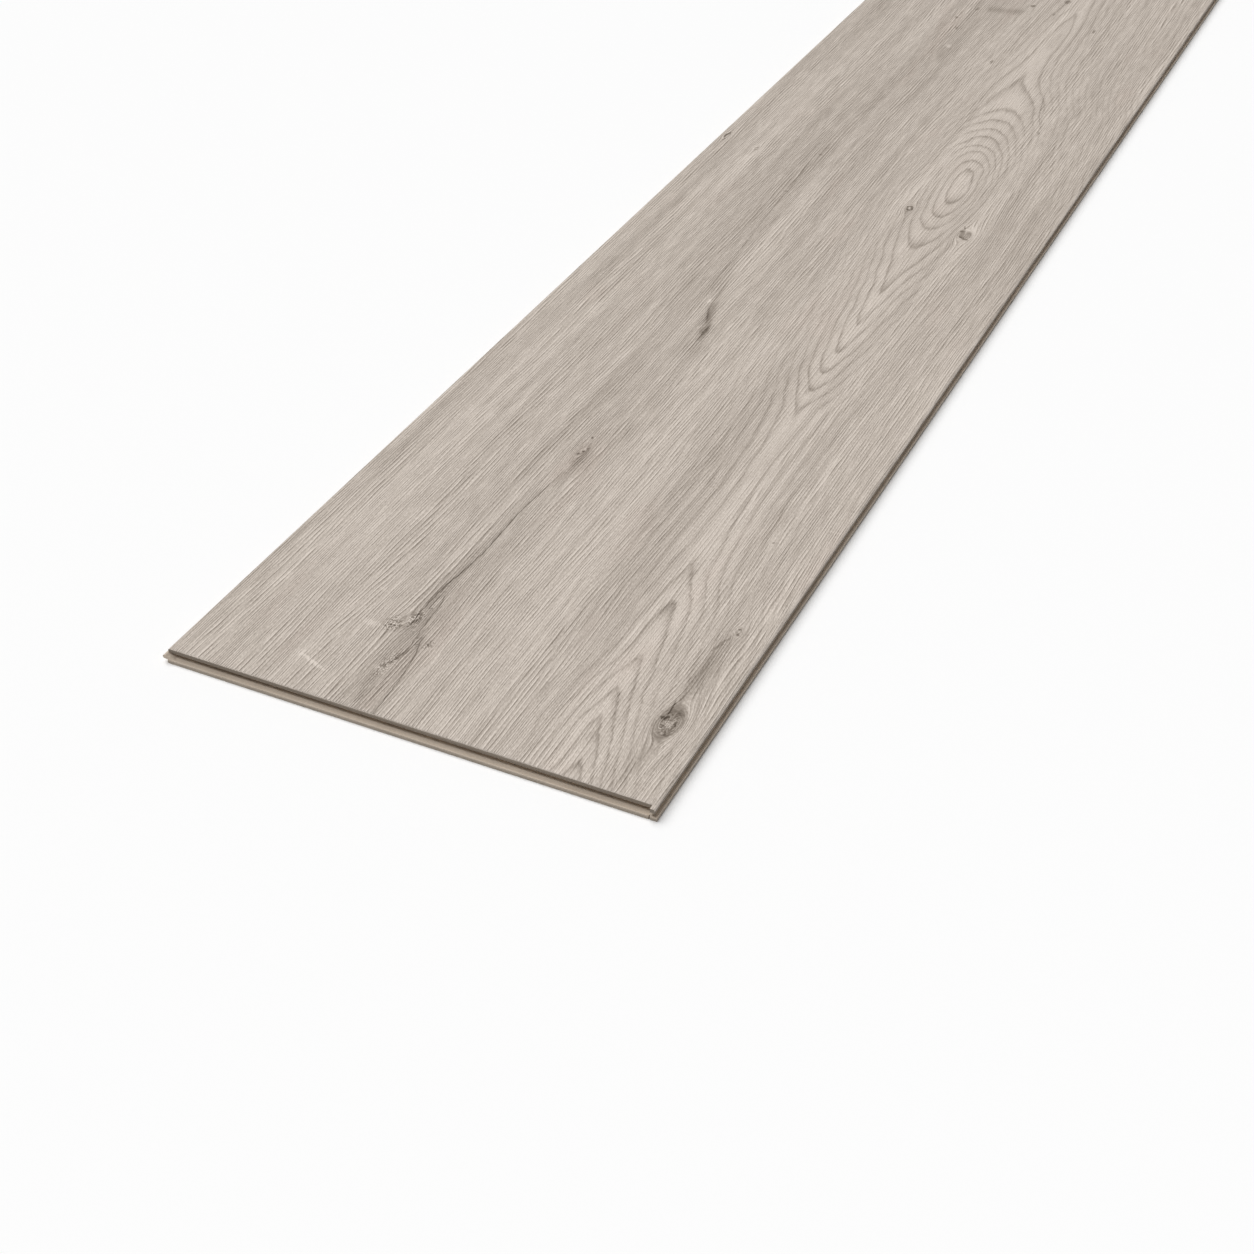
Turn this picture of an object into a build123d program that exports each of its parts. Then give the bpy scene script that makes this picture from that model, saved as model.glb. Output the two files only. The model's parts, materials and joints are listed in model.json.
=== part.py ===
from build123d import *

import math
import os

# Click vinyl floor plank: one piece of rigid core with its decor face, milled on all four edges.
# X runs across the plank, Y along it and Z up, from the centre of the underside.
# Groove edges face +X and -Y and tongue edges face -X and +Y, so like planks lock side by side and end to end.
# All sizes are in millimetres.

# Laid size, from joint line to joint line
cover_length = 1220.0
cover_width = 180.0
thickness = 4.5

# Eased decor edges
side_bevel = 0.5
end_bevel = 0.2

# Heights and fit that all four edges share
upper_lip = 1.5
groove_height = 1.5
lip_rim = 0.25
fit_clearance = 0.06

# Long sides
side_groove_straight = 0.35
side_lip_reach = 0.7
side_cove_sag = 0.12

# Short ends
end_groove_straight = 1.25
end_lip_reach = 1.95
end_cove_sag = 0.35

# Corners of the grooved end: a full-height land on the right, a sloping run-out on the left
land_width = 1.7
slit_width = 0.45
slit_depth = 1.2
runout_length = 2.6

# How far a cutter passes beyond the stock
overcut = 1.0

# Places that follow from the sizes above
groove_roof = thickness - upper_lip
groove_floor = groove_roof - groove_height
groove_round = groove_height / 2
tongue_round = groove_round - fit_clearance
side_joint = cover_width / 2
end_joint = cover_length / 2
left_tip = -side_joint - side_groove_straight - tongue_round
right_tip = side_joint + side_lip_reach
front_tip = -end_joint - end_lip_reach
far_tip = end_joint + end_groove_straight + tongue_round
land_inner = side_joint - land_width
end_seat = end_joint - end_lip_reach - fit_clearance
runout_slope = groove_height / runout_length

UP = Vector(0, 0, 1)
ACROSS = Vector(1, 0, 0)
ALONG = Vector(0, 1, 0)


def groove_void(bevel, straight, lip_reach, cove_sag):
    """Section removed along a groove edge, with x outward from the joint line and y up from the underside."""
    cove_end = lip_reach - lip_rim
    outside = lip_reach + overcut
    above = thickness + overcut
    with BuildSketch() as void:
        with BuildLine():
            Polyline((-bevel - overcut, above), (0, thickness - bevel), (0, groove_roof), (-straight, groove_roof))
            ThreePointArc(
                (-straight, groove_roof),
                (-straight - groove_round, groove_roof - groove_round),
                (-straight, groove_floor),
            )
            Line((-straight, groove_floor), (0, groove_floor))
            ThreePointArc((0, groove_floor), (cove_end / 2, groove_floor - cove_sag), (cove_end, groove_floor))
            Polyline((cove_end, groove_floor), (outside, groove_floor), (outside, above), (-bevel - overcut, above))
        make_face()
    return void.sketch


def tongue_void(bevel, straight, lip_reach, cove_sag):
    """Section removed along a tongue edge, which leaves the mate of groove_void with the fit clearance all round."""
    tongue_top = groove_roof - fit_clearance
    tongue_under = groove_floor + fit_clearance
    cove_half = (lip_reach - lip_rim) / 2
    cove_radius = (cove_half**2 + cove_sag**2) / (2 * cove_sag)
    hook_radius = cove_radius - fit_clearance
    hook_half = math.sqrt(hook_radius**2 - (cove_radius - cove_sag - fit_clearance) ** 2)
    hook_low = groove_floor - cove_sag + fit_clearance
    undercut = -lip_reach - fit_clearance
    outside = straight + tongue_round + overcut
    above = thickness + overcut
    with BuildSketch() as void:
        with BuildLine():
            Polyline((-bevel - overcut, above), (0, thickness - bevel), (0, tongue_top), (straight, tongue_top))
            ThreePointArc(
                (straight, tongue_top),
                (straight + tongue_round, tongue_top - tongue_round),
                (straight, tongue_under),
            )
            Line((straight, tongue_under), (hook_half - cove_half, tongue_under))
            ThreePointArc(
                (hook_half - cove_half, tongue_under),
                (-cove_half, hook_low),
                (-hook_half - cove_half, tongue_under),
            )
            Polyline(
                (-hook_half - cove_half, tongue_under),
                (undercut, tongue_under),
                (undercut, -overcut),
                (outside, -overcut),
                (outside, above),
                (-bevel - overcut, above),
            )
        make_face()
    return void.sketch


def mill(void, start, outward, run, length):
    """What a cutter with that section removes along one edge, from the point start on the joint line."""
    section = Plane(origin=start, x_dir=outward, z_dir=outward.cross(UP)) * void
    return extrude(section, amount=length, dir=run)


def block(low, high):
    """Box between two opposite corners."""
    return Pos(*low) * Box(*(Vector(*high) - Vector(*low)), align=Align.MIN)


def runout(clearance, near, far):
    """Stock under the slope that closes the end groove at the left, between two places along the plank."""
    left = left_tip - overcut
    slope_at_left = groove_roof + clearance + (-side_joint - left) * runout_slope
    foot = left + (slope_at_left + overcut) / runout_slope
    with BuildSketch(Plane.XZ.offset(-near)) as wedge:
        Polygon((left, slope_at_left), (left, -overcut), (foot, -overcut), align=None)
    return extrude(wedge.sketch, amount=far - near, dir=ALONG)


def long_edges(stock):
    """Stock with the groove milled along its right side and the tongue along its left."""
    length = far_tip - front_tip + 2 * overcut
    begin = front_tip - overcut
    groove = groove_void(side_bevel, side_groove_straight, side_lip_reach, side_cove_sag)
    tongue = tongue_void(side_bevel, side_groove_straight, side_lip_reach, side_cove_sag)
    right = mill(groove, (side_joint, begin, 0), ACROSS, ALONG, length)
    left = mill(tongue, (-side_joint, begin, 0), -ACROSS, ALONG, length)
    return stock - right - left


def grooved_end(stock):
    """Stock with the front groove milled between the left run-out and the right land, and the slit beside the land."""
    groove = groove_void(end_bevel, end_groove_straight, end_lip_reach, end_cove_sag)
    milled = mill(groove, (-side_joint, -end_joint, 0), -ALONG, ACROSS, cover_width - land_width)
    milled -= runout(0, front_tip - overcut, -end_joint + end_groove_straight + groove_round + overcut)
    slit = block(
        (land_inner - slit_width, front_tip - overcut, -overcut),
        (land_inner, front_tip + slit_depth, groove_floor + overcut),
    )
    return stock - milled - slit


def tongued_end(stock):
    """Stock with the far tongue milled, and seats cut there for the next plank's land, run-out and side tongue."""
    tongue = tongue_void(end_bevel, end_groove_straight, end_lip_reach, end_cove_sag)
    width = right_tip - left_tip + 2 * overcut
    milled = mill(tongue, (left_tip - overcut, end_joint, 0), ALONG, ACROSS, width)
    beyond = far_tip + overcut
    land_seat = block(
        (land_inner - fit_clearance, end_seat, -overcut),
        (right_tip + overcut, beyond, thickness + overcut),
    )
    tongue_seat = block(
        (left_tip - overcut, end_seat, -overcut),
        (-side_joint, beyond, thickness + overcut),
    )
    return stock - milled - land_seat - tongue_seat - runout(fit_clearance, end_seat, beyond)


stock = block((left_tip, front_tip, 0), (right_tip, far_tip, thickness))
plank = tongued_end(grooved_end(long_edges(stock)))

os.makedirs("parts", exist_ok=True)
export_step(plank, "parts/plank.step")
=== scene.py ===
"""Looks of a click vinyl floor plank: a greige oak decor face pressed on a beige mineral core.

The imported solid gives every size. Its decor face is cut into a fine grid and embossed along the grain.
The grain's course, its rings, knots and cracks are worked out on that grid, and node finishes print them.
"""

import json
import logging
import math
from collections.abc import Callable, Sequence
from dataclasses import dataclass, field
from enum import Enum

import bmesh
import bpy
import numpy as np
from mathutils import Matrix, Vector


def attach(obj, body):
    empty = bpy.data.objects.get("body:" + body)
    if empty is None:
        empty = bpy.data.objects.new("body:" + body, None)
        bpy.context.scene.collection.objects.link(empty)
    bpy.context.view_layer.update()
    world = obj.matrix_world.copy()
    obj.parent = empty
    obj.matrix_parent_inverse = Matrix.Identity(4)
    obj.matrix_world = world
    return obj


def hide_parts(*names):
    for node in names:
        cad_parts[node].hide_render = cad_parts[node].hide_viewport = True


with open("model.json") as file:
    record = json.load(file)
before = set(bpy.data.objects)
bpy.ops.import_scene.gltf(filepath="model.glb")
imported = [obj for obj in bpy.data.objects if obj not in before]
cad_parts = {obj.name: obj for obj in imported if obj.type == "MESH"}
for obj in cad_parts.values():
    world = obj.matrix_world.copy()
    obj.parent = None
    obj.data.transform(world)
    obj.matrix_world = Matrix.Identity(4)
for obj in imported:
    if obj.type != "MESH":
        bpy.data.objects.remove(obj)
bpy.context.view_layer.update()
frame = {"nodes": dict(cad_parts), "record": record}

log = logging.getLogger("plank")
logging.basicConfig(level=logging.INFO, format="%(name)s: %(message)s")

MM = 0.001
# How glossy the plank's matte surfaces are
MATTE_GLOSS = 0.25
# Where the darkest and palest shades of a mottled colour lie on its ramp
MOTTLE_ENDS = (0.2, 0.8)

Socket = bpy.types.NodeSocket
# What feeds a socket: another one, or a value of its own
Source = Socket | float | tuple
# Places and the values there, in order of place
Stations = Sequence[tuple[float, float]]
# Where something is 0 and where it is 1, or a number along and one across
Span = tuple[float, float]


class Finish(Enum):
    """The plank's surfaces, in the order of its material slots."""

    DECOR = 0
    KNOTS = 1
    CORE = 2
    BACKING = 3


class Mark(Enum):
    """Names of the grid's attributes that carry the print."""

    PLACE = "place"
    GRAIN = "grain"
    RING = "ring"
    CRACK = "crack"
    SHADE = "shade"


class Kind(Enum):
    """How a spot of the print is drawn."""

    DARK = "dark"
    EYE = "eye"
    CURL = "curl"
    PALE = "pale"


@dataclass(frozen=True)
class Paint:
    """A colour as seen on a screen, in steps from 0 to 255."""

    red: float
    green: float
    blue: float

    def linear(self) -> tuple[float, float, float, float]:
        """The colour in linear light, opaque."""
        steps = [step / 255 for step in (self.red, self.green, self.blue)]
        light = [c / 12.92 if c <= 0.04045 else ((c + 0.055) / 1.055) ** 2.4 for c in steps]
        return (*light, 1.0)

    def shifted(self, steps: float) -> "Paint":
        """The colour some steps paler, or darker below zero."""
        return Paint(self.red + steps, self.green + steps, self.blue + steps)

    def mottled(self, darker: float, paler: float) -> list[tuple[float, tuple]]:
        """Stops of a ramp that varies the colour by some steps either way."""
        shades = (self.shifted(-darker), self.shifted(paler))
        return [(place, shade.linear()) for place, shade in zip(MOTTLE_ENDS, shades)]


def smooth_step(value: np.ndarray, low: float, high: float) -> np.ndarray:
    """Rise from 0 at low to 1 at high, with soft ends.

    Args:
        value: Where to read the rise.
        low: Value that gives 0.
        high: Value that gives 1, on either side of low.

    Returns:
        The rise at each value.
    """
    share = np.clip((value - low) / (high - low), 0, 1)
    return share * share * (3 - 2 * share)


def curve_through(stations: Stations, at: np.ndarray) -> np.ndarray:
    """Read a smooth curve through a few stations, which never overshoots them.

    Args:
        stations: Places and values, in order of place.
        at: Places to read.

    Returns:
        The curve's value at each place.
    """
    place, value = np.array(stations, float).T
    step = np.diff(place)
    slope = np.diff(value) / step
    product = slope[:-1] * slope[1:]
    total = slope[:-1] + slope[1:]
    same_way = product > 0
    bend = np.zeros(len(place))
    bend[1:-1][same_way] = 2 * product[same_way] / total[same_way]
    span = np.clip(np.searchsorted(place, at) - 1, 0, len(step) - 1)
    u = np.clip((at - place[span]) / step[span], 0, 1)
    rise = u * u * (3 - 2 * u)
    lean = u * (1 - u) ** 2 * bend[span] - u * u * (1 - u) * bend[span + 1]
    return value[span] + rise * (value[span + 1] - value[span]) + lean * step[span]


@dataclass(frozen=True)
class Waver:
    """Smooth seeded noise up to a height either way, in patches of some length and breadth."""

    height: float
    length: float
    breadth: float
    seed: int
    # How many patches are drawn each way before they repeat
    count: int = 256

    def at(self, along: np.ndarray, across: np.ndarray) -> np.ndarray:
        """Read the noise.

        Args:
            along: Places along the grain.
            across: Places across the grain.

        Returns:
            The noise at each place.
        """
        lattice = np.random.default_rng(self.seed).uniform(-1, 1, (self.count, self.count))
        u, v = along / self.length, across / self.breadth
        i, j = np.floor(u).astype(int), np.floor(v).astype(int)
        p, q = smooth_step(u - i, 0, 1), smooth_step(v - j, 0, 1)
        near, far = i % self.count, (i + 1) % self.count
        left, right = j % self.count, (j + 1) % self.count
        low = lattice[near, left] * (1 - p) + lattice[far, left] * p
        high = lattice[near, right] * (1 - p) + lattice[far, right] * p
        return self.height * (low * (1 - q) + high * q)


@dataclass(frozen=True)
class Spot:
    """An oval mark of the print, in millimetres from the front left corner, turned by a few degrees."""

    kind: Kind
    along: float
    across: float
    half_length: float
    half_width: float
    strength: float
    turn: float = 0.0

    def axes(self) -> tuple[tuple[float, float, float], tuple[float, float, float]]:
        """Work out the axes whose products with a place give it in the spot's own half sizes.

        Returns:
            The long axis and the short one.
        """
        c, s = math.cos(math.radians(self.turn)), math.sin(math.radians(self.turn))
        long_axis = (c / self.half_length, s / self.half_length, 0.0)
        short_axis = (-s / self.half_width, c / self.half_width, 0.0)
        return long_axis, short_axis

    def radius(self, along: np.ndarray, across: np.ndarray) -> np.ndarray:
        """Measure how far places lie from the spot's middle.

        Args:
            along: Places along the plank.
            across: Places across the plank.

        Returns:
            The distances, in the spot's own half sizes.
        """
        long_axis, short_axis = self.axes()
        u, v = along - self.along, across - self.across
        return np.hypot(u * long_axis[0] + v * long_axis[1], u * short_axis[0] + v * short_axis[1])


@dataclass(frozen=True)
class Swirl:
    """A place that the grain flows round, with the reach of its bend across and its stretch along."""

    along: float
    across: float
    reach: float
    stretch: float = 2.0


@dataclass(frozen=True)
class Crack:
    """A dark split of the print along given points, in millimetres from the front left corner."""

    points: Stations
    strength: float
    taper: float = 8.0


@dataclass(frozen=True)
class Shade:
    """A soft darker or, below zero, paler stretch of the print; one along the right bevel is a painted
    highlight.
    """

    start: tuple[float, float]
    end: tuple[float, float]
    half_width: float
    strength: float


@dataclass
class OakPrint:
    """The oak figure of the decor, in millimetres along and across from its front left corner."""

    # How wide the figure is before it is laid on the flat decor
    width: float = 180.0
    # Where each growth ring crosses the middle of the cathedral figure
    apexes: Stations = (
        (-10, 5), (8, 6), (30, 7), (46, 8), (64, 9), (97, 10), (120, 11), (180, 11.5), (232, 11), (250, 10),
        (265, 9), (283, 8), (310, 7), (340, 6), (388, 5), (408, 4), (422, 3), (438, 2), (458, 1.25), (478, 2),
        (489, 3), (500, 4), (507, 5), (519, 6), (529, 7), (541, 8), (556, 9), (600, 10), (680, 10.5),
        (702, 11), (724, 11.4), (800, 11.6), (880, 10.5), (930, 9), (1000, 7.5), (1080, 8.5), (1150, 10),
        (1230, 11),
    )
    # The middle line of the cathedral figure
    centre: Stations = (
        (-10, 151), (8, 150), (30, 147), (64, 145), (97, 142), (120, 139), (232, 133), (283, 131), (408, 128),
        (458, 126.4), (520, 121), (560, 120), (600, 115), (700, 116), (900, 110), (1230, 104),
    )
    ring_spacing: float = 2.6
    # Where the rings are ovals, and how square those are
    eye_share: Stations = ((330, 0), (400, 1), (560, 1), (640, 0))
    eye_bow: float = 2.3
    # How blunt the arches' tips are, and how far to the side they reach, in rings
    arch_tip: float = 0.55
    arch_reach: float = 20.0
    swirls: Sequence[Swirl] = (
        Swirl(37, 167.4, 5.0, 2.2),
        Swirl(91, 168.6, 1.6),
        Swirl(409, 145, 3.6, 2.2),
        Swirl(425, 112.9, 2.2),
        Swirl(169, 69.6, 1.6),
        Swirl(48, 63, 2.2, 1.6),
        Swirl(39.5, 77.7, 0.6),
        Swirl(276, 74, 0.9, 2.6),
        Swirl(456, 22, 1.4),
        Swirl(464, 3, 1.6, 3.0),
    )
    spots: Sequence[Spot] = (
        # The large knot near the right side
        Spot(Kind.EYE, 37.2, 167.3, 9.0, 4.5, 0.6),
        Spot(Kind.DARK, 41.8, 167.3, 3.4, 2.8, 0.36),
        Spot(Kind.DARK, 33.0, 167.4, 2.6, 2.6, 0.22),
        Spot(Kind.DARK, 37.2, 167.3, 7.6, 3.7, 0.2),
        Spot(Kind.PALE, 36.0, 167.2, 1.6, 1.2, 0.3, -30),
        Spot(Kind.PALE, 31.8, 166.6, 0.5, 2.0, 0.7, 10),
        Spot(Kind.DARK, 38.7, 164.7, 0.9, 1.3, 1.0, 25),
        Spot(Kind.DARK, 37.4, 169.2, 1.9, 0.5, 0.5, -8),
        Spot(Kind.DARK, 35.0, 165.9, 0.6, 1.2, 0.45, 20),
        Spot(Kind.DARK, 38.4, 167.2, 0.5, 1.1, 0.4, -20),
        Spot(Kind.CURL, 37, 167.3, 6.0, 3.4, 0.5),
        Spot(Kind.CURL, 52, 168.5, 8.0, 4.5, 0.2),
        # Its flame, and the pin where it ends
        Spot(Kind.DARK, 62, 167.2, 16.0, 3.0, 0.2),
        Spot(Kind.DARK, 70, 165.6, 15.0, 1.4, 0.18, 1.5),
        Spot(Kind.DARK, 82.6, 166.0, 6.0, 0.8, 0.5, 16),
        Spot(Kind.PALE, 62, 169.6, 4.5, 0.9, 0.5, 4),
        Spot(Kind.DARK, 91, 168.8, 2.4, 1.4, 0.3),
        Spot(Kind.DARK, 89.4, 168.8, 0.7, 0.8, 0.6),
        Spot(Kind.DARK, 92.2, 168.5, 0.6, 0.8, 0.8),
        Spot(Kind.PALE, 90.8, 168.8, 0.6, 0.5, 1.0),
        # The knot beside the oval eye, and the small ringed one
        Spot(Kind.DARK, 405.8, 145.6, 1.2, 3.2, 0.55, 26),
        Spot(Kind.DARK, 409.6, 143.5, 4.0, 1.3, 0.5, -8),
        Spot(Kind.DARK, 413.0, 143.0, 1.7, 1.3, 0.8),
        Spot(Kind.DARK, 411.0, 146.8, 1.2, 1.3, 0.16, 20),
        Spot(Kind.DARK, 409, 145, 5.4, 3.6, 0.46),
        Spot(Kind.DARK, 416.6, 142.6, 2.2, 0.5, 0.7, -20),
        Spot(Kind.PALE, 409.0, 146.0, 1.0, 0.8, 0.35),
        Spot(Kind.PALE, 416, 147.6, 7.0, 1.0, 0.1, -10),
        Spot(Kind.EYE, 425.2, 112.9, 2.6, 1.5, 1.25),
        Spot(Kind.PALE, 425.4, 112.8, 1.1, 0.5, 1.0),
        Spot(Kind.DARK, 422, 113.5, 6.0, 2.4, 0.14),
        # Blotches where the arches end
        Spot(Kind.DARK, 20, 148.5, 3.5, 3.0, 0.15),
        Spot(Kind.DARK, 41, 147.0, 4.5, 2.0, 0.18),
        Spot(Kind.DARK, 92, 141.5, 5.0, 2.2, 0.2),
        Spot(Kind.DARK, 115, 140.5, 4.0, 1.8, 0.16),
        Spot(Kind.DARK, 250, 131.5, 5.0, 2.0, 0.15),
        Spot(Kind.DARK, 268, 131.5, 3.5, 2.0, 0.13),
        Spot(Kind.DARK, 287, 131.0, 4.0, 2.0, 0.13),
        # Pins at the end of the long split
        Spot(Kind.DARK, 167.7, 69.0, 1.0, 0.6, 1.1),
        Spot(Kind.DARK, 169.9, 70.2, 0.8, 0.8, 1.15, -30),
        Spot(Kind.DARK, 172.6, 71.0, 1.2, 0.4, 0.5, 10),
        Spot(Kind.PALE, 171.6, 70.0, 0.8, 0.5, 0.9),
        Spot(Kind.PALE, 165.4, 69.2, 1.2, 0.4, 0.5),
        Spot(Kind.DARK, 180.4, 68.8, 0.8, 0.5, 0.95),
        Spot(Kind.PALE, 180.4, 69.9, 0.6, 0.5, 0.7),
        Spot(Kind.DARK, 166, 71.0, 8.0, 1.5, 0.36, 3),
        Spot(Kind.DARK, 170, 68.0, 9.0, 0.8, 0.24, -3),
        # Curly patch in front of the long split
        Spot(Kind.CURL, 50, 66.2, 5.6, 2.6, 1.2),
        Spot(Kind.CURL, 44.6, 60.6, 4.6, 3.4, 1.3),
        Spot(Kind.CURL, 24, 70, 8.5, 2.6, 0.9),
        Spot(Kind.DARK, 46.5, 63.0, 8.0, 4.6, 0.34, 35),
        Spot(Kind.DARK, 50, 67.3, 2.6, 0.7, 0.5),
        Spot(Kind.PALE, 48.6, 65.0, 2.6, 0.7, 0.9, 25),
        Spot(Kind.PALE, 44.6, 60.0, 0.6, 2.0, 0.9, -10),
        Spot(Kind.DARK, 43.6, 60.6, 0.5, 1.6, 0.5, -10),
        Spot(Kind.DARK, 46.2, 60.6, 0.5, 1.8, 0.5, -15),
        Spot(Kind.PALE, 41.6, 54.0, 1.8, 3.6, 0.75),
        Spot(Kind.PALE, 61, 68, 3.0, 0.9, 0.5, 10),
        Spot(Kind.PALE, 21.6, 68.4, 1.0, 1.2, 0.8),
        Spot(Kind.PALE, 27.4, 71.2, 0.9, 0.7, 0.6, 30),
        Spot(Kind.DARK, 39.4, 77.6, 2.0, 1.3, 0.5, -30),
        Spot(Kind.CURL, 39.2, 77.6, 3.0, 1.8, 0.9),
        Spot(Kind.DARK, 28.2, 71.6, 0.5, 0.8, 0.5),
        Spot(Kind.DARK, 6.5, 70.6, 5.0, 1.0, 0.32),
        Spot(Kind.DARK, 17, 69.2, 9.0, 1.6, 0.24),
        Spot(Kind.DARK, 31, 72.0, 5.0, 0.9, 0.5, 12),
        # Torn pale figure by the front left corner
        Spot(Kind.PALE, 14.6, 47.5, 0.9, 7.5, 1.05, 20),
        Spot(Kind.PALE, 17.0, 40.5, 2.2, 1.6, 0.5),
        Spot(Kind.PALE, 60, 46.6, 0.9, 1.6, 0.5),
        Spot(Kind.PALE, 182.6, 54.5, 0.6, 2.4, 0.35, -12),
        # The dark streak half way along
        Spot(Kind.DARK, 276.6, 73.4, 4.2, 1.9, 0.4),
        Spot(Kind.DARK, 275.6, 74.2, 8.0, 1.8, 0.22),
        Spot(Kind.DARK, 275, 75.0, 8.0, 0.7, 0.3),
        Spot(Kind.DARK, 271, 73.9, 5.0, 0.5, 0.3),
        Spot(Kind.DARK, 281, 74.0, 3.0, 0.6, 0.3, 6),
        Spot(Kind.PALE, 278.6, 70.4, 2.2, 0.7, 0.6, 10),
        Spot(Kind.DARK, 284, 72.3, 6.5, 1.3, 0.24, -17),
        Spot(Kind.DARK, 290.5, 70.4, 11.0, 2.2, 0.2, -17),
        Spot(Kind.DARK, 291.5, 68.9, 6.0, 0.7, 0.3, -18),
        Spot(Kind.DARK, 312, 66.0, 9.0, 0.6, 0.16, -5),
        Spot(Kind.PALE, 301.6, 65.0, 1.9, 0.9, 1.8),
        # Ticks and smears further along
        Spot(Kind.DARK, 417, 53.8, 0.7, 1.6, 0.4),
        Spot(Kind.DARK, 463, 53.6, 0.7, 1.6, 0.4),
        Spot(Kind.DARK, 456, 22.2, 3.0, 1.0, 0.5, 10),
        Spot(Kind.DARK, 463, 3.2, 6.0, 1.2, 0.4),
        Spot(Kind.DARK, 534, 143, 2.4, 0.8, 0.5, -15),
        Spot(Kind.DARK, 614, 93.6, 2.4, 0.9, 0.7),
        Spot(Kind.DARK, 704, 89.8, 2.2, 1.4, 0.9),
        Spot(Kind.DARK, 680.5, 131.6, 2.8, 0.8, 0.7),
        Spot(Kind.DARK, 668.6, 56, 2.4, 1.0, 0.6, -20),
        Spot(Kind.DARK, 653, 61, 2.6, 1.0, 0.4, -25),
        Spot(Kind.DARK, 686, 62.6, 3.2, 0.9, 0.6),
        Spot(Kind.DARK, 696, 104.4, 2.2, 0.7, 0.5),
        Spot(Kind.DARK, 719, 106, 3.4, 1.8, 0.7),
        Spot(Kind.PALE, 625.6, 65.3, 2.4, 1.4, 0.8, -30),
        Spot(Kind.DARK, 144.6, 159.2, 0.8, 0.6, 0.7),
    )
    cracks: Sequence[Crack] = (
        Crack(((-10, 79.8), (0, 79.4), (20, 78), (27, 77), (33, 76), (38, 74.5), (44.5, 73.6)), 0.8, 5.0),
        Crack(((20, 68.4), (26, 70.8), (35, 72.2), (42.5, 71.3), (50, 70.5), (60, 69.9), (69, 68)), 0.75),
        Crack(
            ((41, 66.4), (57, 65.6), (69, 65.6), (80, 67), (96, 68), (120, 67.6), (144, 69), (158, 69.6)),
            0.95,
            14.0,
        ),
        Crack(((281, 72), (290, 69.4), (296, 67.6), (310, 66.2), (325, 65.4)), 0.36, 10.0),
        Crack(((294, 60), (330, 59.4), (370, 57), (417, 54.4), (463, 53.6)), 0.5, 30.0),
        Crack(((535, 142.6), (556, 137), (570, 134.4), (592, 131.4)), 0.6, 18.0),
        Crack(((186, 143), (212, 140.4)), 0.35, 8.0),
        Crack(((39, 165.2), (45.5, 164.9), (50, 164.4)), 1.0, 4.0),
    )
    shades: Sequence[Shade] = (
        Shade((48, 167), (82, 167.8), 4.0, 0.5),
        Shade((16, 167), (30, 167), 2.6, 0.3),
        Shade((0, 167), (28, 167), 4.0, 0.2),
        Shade((80, 126), (260, 122), 6.0, 0.14),
        Shade((12, 71), (70, 64), 7.5, 0.28),
        Shade((70, 65), (180, 68), 5.0, 0.1),
        Shade((180, 68), (330, 62), 7.0, 0.16),
        Shade((262, 74), (318, 65), 3.5, 0.32),
        Shade((270, 74.6), (298, 68.4), 1.8, 0.34),
        Shade((148, 71), (174, 71.6), 1.8, 0.34),
        Shade((300, 58), (470, 54), 6.5, 0.19),
        Shade((470, 62), (740, 68), 14.0, 0.2),
        Shade((120, 139), (228, 134), 5.0, -0.07),
        Shade((452, 126.4), (464, 126.4), 4.0, -0.12),
        Shade((689, 70), (692, 86), 1.9, 0.55),
        Shade((650, 116), (666, 116), 2.4, 0.3),
        Shade((612, 65.6), (622, 65.6), 2.2, 0.4),
        Shade((560, 119), (700, 116), 5.0, -0.12),
        Shade((0, 40), (60, 44), 6.0, -0.1),
        Shade((40, 36), (90, 32), 8.0, -0.07),
        Shade((40, 9), (140, 8), 7.0, 0.1),
        Shade((0, 102), (270, 97), 10.0, -0.15),
        Shade((385, 126), (430, 124), 9.0, 0.12),
        Shade((500, 159), (640, 156), 7.0, 0.08),
        # Painted highlight along the right bevel
        Shade((0, 180.6), (1220, 180.6), 0.9, -0.5),
    )
    # How the grain lines waver, how the rings waver besides, and the pores of the emboss
    grain_wavers: Sequence[Waver] = (Waver(0.9, 90, 26, 11), Waver(0.22, 28, 9, 12))
    ring_waver: Waver = Waver(0.6, 12, 6, 14)
    pore_waver: Waver = Waver(0.018, 22, 1.9, 21)
    # How calm the grain stays in the core of a swirl
    swirl_core: float = 0.35
    # How boldly the rings show away from the middle line, and how far from it they are bold
    ring_least: float = 0.36
    ring_breadth: float = 13.0
    # How boldly they show on the plain left side, and where that side begins and ends
    left_least: float = 0.3
    left_fade: Span = (-62.0, -24.0)
    # How far beside a crack and beyond its ends its distance is told, and how far beyond them it fades in
    crack_reach: float = 4.0
    crack_skirt: float = 3.0
    crack_lead: float = 0.5
    # How much further a shade fades at its ends than at its sides
    shade_ends: float = 2.5
    # How far beyond its half sizes a spot may be drawn, and how far its ragged outline may stray
    spot_reach: float = 1.4
    spot_stray: float = 3.0
    # Depths of the emboss: its middle, and what rings, spots and cracks add
    mean_depth: float = 0.02
    ring_depth: float = 0.012
    spot_depth: float = 0.04
    crack_depth: float = 0.05
    # Where such a pit begins and where it is deepest, in half sizes of a spot and beside a crack
    spot_pit: Span = (1.2, 0.3)
    crack_pit: Span = (1.1, 0.2)

    def warped(self, along: np.ndarray, across: np.ndarray) -> np.ndarray:
        """Bend the grain round the knots and let it waver.

        Args:
            along: Places along the plank.
            across: Places across the plank.

        Returns:
            The place across that each point's grain line has far from any knot.
        """
        line = across
        for waver in self.grain_wavers:
            line = line + waver.at(along, across)
        for swirl in self.swirls:
            apart = across - swirl.across
            distance = apart**2 + ((along - swirl.along) / swirl.stretch) ** 2
            line = line - apart * swirl.reach**2 / (distance + self.swirl_core * swirl.reach**2)
        return line

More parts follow.
